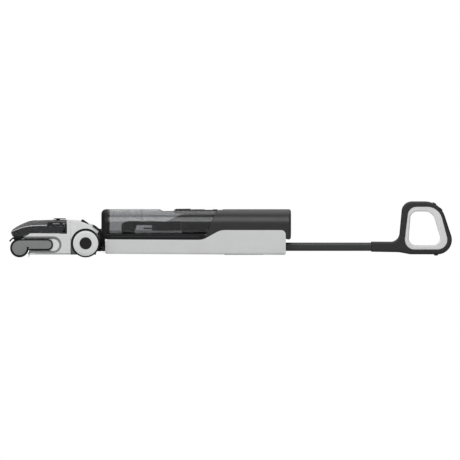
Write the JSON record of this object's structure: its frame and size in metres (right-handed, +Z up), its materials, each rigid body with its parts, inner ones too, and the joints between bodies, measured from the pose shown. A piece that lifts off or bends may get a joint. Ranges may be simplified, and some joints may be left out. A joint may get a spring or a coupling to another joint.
{
  "type": "wet dry floor scrubber",
  "caption": "Cordless wet and dry floor scrubber lying flat: wheeled floor head with driven roller under a clear cover, swivel neck, slim body with clear dirty water tank, pole and loop handle.",
  "frame": {"origin": "on the floor, in the middle of the overall length and width, with the machine lying flat", "axes": "+X from the floor head towards the handle, +Y to the right of a user behind the handle, +Z up, which is the way the front of the body faces"},
  "size_m": [1.2846, 0.2648, 0.1627],
  "materials": {
    "silver": "fine satin, light silver grey",
    "head_light": "fine satin, light grey",
    "wheel_disc": "satin, pale grey",
    "head_dark": "matt, near black",
    "black_matt": "matt black",
    "black_gloss": "gloss black",
    "graphite": "semi gloss graphite",
    "smoked_clear": "clear, smoke tinted",
    "tank_clear": "clear, lightly tinted",
    "water_clear": "clear, frosted",
    "mid_grey": "satin mid grey",
    "liner_light": "soft touch, pale grey",
    "soft_black": "matt rubber",
    "tyre_black": "matt rubber with cross grooves",
    "pile": "short dense microfibre pile",
    "belt": "ribbed rubber",
    "steel": "turned",
    "screw_steel": "blackened",
    "motor_steel": "zinc plated can",
    "pole_paint": "anodised dark grey",
    "contacts": "plated",
    "board_green": "solder mask",
    "cell_wrap": "shrink wrap",
    "filter_paper": "pleated",
    "fan_white": "satin"
  },
  "bodies": {
    "head": {"head_base": "head_dark", "head_top_shell": "head_light", "side_panel_left": "head_light", "side_panel_right": "head_light", "arm_frame_left": "black_matt", "arm_frame_right": "black_matt", "arm_inlay_left": "mid_grey", "arm_inlay_right": "mid_grey", "suction_duct": "head_dark", "spray_bar": "head_dark", "squeegee_blade": "soft_black", "brush_motor": "motor_steel", "drive_belt": "belt", "wheel_axles": "steel", "pivot_pins": "steel", "head_screws": "screw_steel", "slot_trim": "soft_black", "neck_hose": "soft_black"},
    "cover": {"roller_cover": "smoked_clear", "front_bumper": "soft_black"},
    "cover_latch": {"cover_latch": "black_matt"},
    "roller": {"roller_core": "head_dark", "roller_sleeve": "pile", "roller_pulley": "black_matt"},
    "brush_drive": {"motor_pulley": "steel"},
    "wheel_left": {"tyre_left": "tyre_black", "rim_left": "wheel_disc", "hub_cap_left": "black_gloss"},
    "wheel_right": {"tyre_right": "tyre_black", "rim_right": "wheel_disc", "hub_cap_right": "black_gloss"},
    "neck": {"neck_yoke": "black_matt", "neck_cover": "head_light", "neck_bellows": "soft_black", "swivel_bearing": "steel"},
    "body": {"spine_shell": "silver", "spine_chassis": "black_matt", "motor_housing": "graphite", "display_cap": "graphite", "display_lens": "black_gloss", "suction_motor": "motor_steel", "hepa_filter": "filter_paper", "battery_cells": "cell_wrap", "control_board": "board_green", "water_pump": "black_matt", "charging_contacts": "contacts", "body_screws": "screw_steel", "pole": "pole_paint", "handle_frame": "black_matt", "handle_liner": "liner_light", "handle_foot": "soft_black"},
    "shutter": {"slot_shutter": "head_light"},
    "fan": {"fan_impeller": "fan_white"},
    "dirty_tank": {"dirty_tank": "tank_clear", "riser_tube": "black_matt", "tank_lid": "graphite"},
    "tank_latch": {"tank_latch": "graphite"},
    "clean_tank": {"clean_tank": "water_clear"},
    "power_button": {"power_button": "black_gloss"},
    "mode_button": {"mode_button": "black_gloss"}
  },
  "joints": [
    {"name": "cover_slide", "type": "slide", "parent": "head", "child": "cover", "axis": [-0.9659, 0, 0.2588], "range_m": [0, 0.08]},
    {"name": "cover_latch_slide", "type": "slide", "parent": "cover", "child": "cover_latch", "axis": [-1, 0, 0], "range_m": [0, 0.004], "stiffness_N_per_m": 400},
    {"name": "roller_spin", "type": "hinge", "parent": "head", "child": "roller", "pos_m": [-0.6121, 0, 0.0274], "axis": [0, 1, 0], "continuous": true},
    {"name": "brush_drive_spin", "type": "hinge", "parent": "head", "child": "brush_drive", "pos_m": [-0.556, 0, 0.039], "axis": [0, 1, 0], "continuous": true},
    {"name": "wheel_left_spin", "type": "hinge", "parent": "head", "child": "wheel_left", "pos_m": [-0.4202, -0.116, 0.0408], "axis": [0, 1, 0], "continuous": true},
    {"name": "wheel_right_spin", "type": "hinge", "parent": "head", "child": "wheel_right", "pos_m": [-0.4202, 0.116, 0.0408], "axis": [0, 1, 0], "continuous": true},
    {"name": "recline", "type": "hinge", "parent": "head", "child": "neck", "pos_m": [-0.4405, 0, 0.0505], "axis": [0, -1, 0], "range_deg": [-1, 90], "deforming": ["neck_hose", "neck_bellows"]},
    {"name": "shutter_turn", "type": "hinge", "parent": "head", "child": "shutter", "pos_m": [-0.4405, 0, 0.0505], "axis": [0, -1, 0], "range_deg": [-0.5, 45]},
    {"name": "swivel", "type": "hinge", "parent": "neck", "child": "body", "pos_m": [-0.3755, 0, 0.0505], "axis": [1, 0, 0], "range_deg": [-60, 60]},
    {"name": "fan_spin", "type": "hinge", "parent": "body", "child": "fan", "pos_m": [0.045, 0, 0.096], "axis": [1, 0, 0], "continuous": true},
    {"name": "dirty_tank_slide", "type": "slide", "parent": "body", "child": "dirty_tank", "axis": [0, 0, 1], "range_m": [0, 0.11]},
    {"name": "tank_latch_press", "type": "slide", "parent": "dirty_tank", "child": "tank_latch", "axis": [0, 0, -1], "range_m": [0, 0.0025], "stiffness_N_per_m": 400},
    {"name": "clean_tank_slide", "type": "slide", "parent": "body", "child": "clean_tank", "axis": [0, 0, -1], "range_m": [0, 0.05]},
    {"name": "power_button_press", "type": "slide", "parent": "body", "child": "power_button", "axis": [-0.4695, 0, -0.8829], "range_m": [0, 0.0015], "stiffness_N_per_m": 400},
    {"name": "mode_button_press", "type": "slide", "parent": "body", "child": "mode_button", "axis": [-0.7193, 0, -0.6947], "range_m": [0, 0.0015], "stiffness_N_per_m": 400}
  ],
  "couplings": [
    {"joint": "brush_drive_spin", "follows": "roller_spin", "ratio": 1.4545},
    {"joint": "shutter_turn", "follows": "recline", "ratio": 0.5}
  ]
}
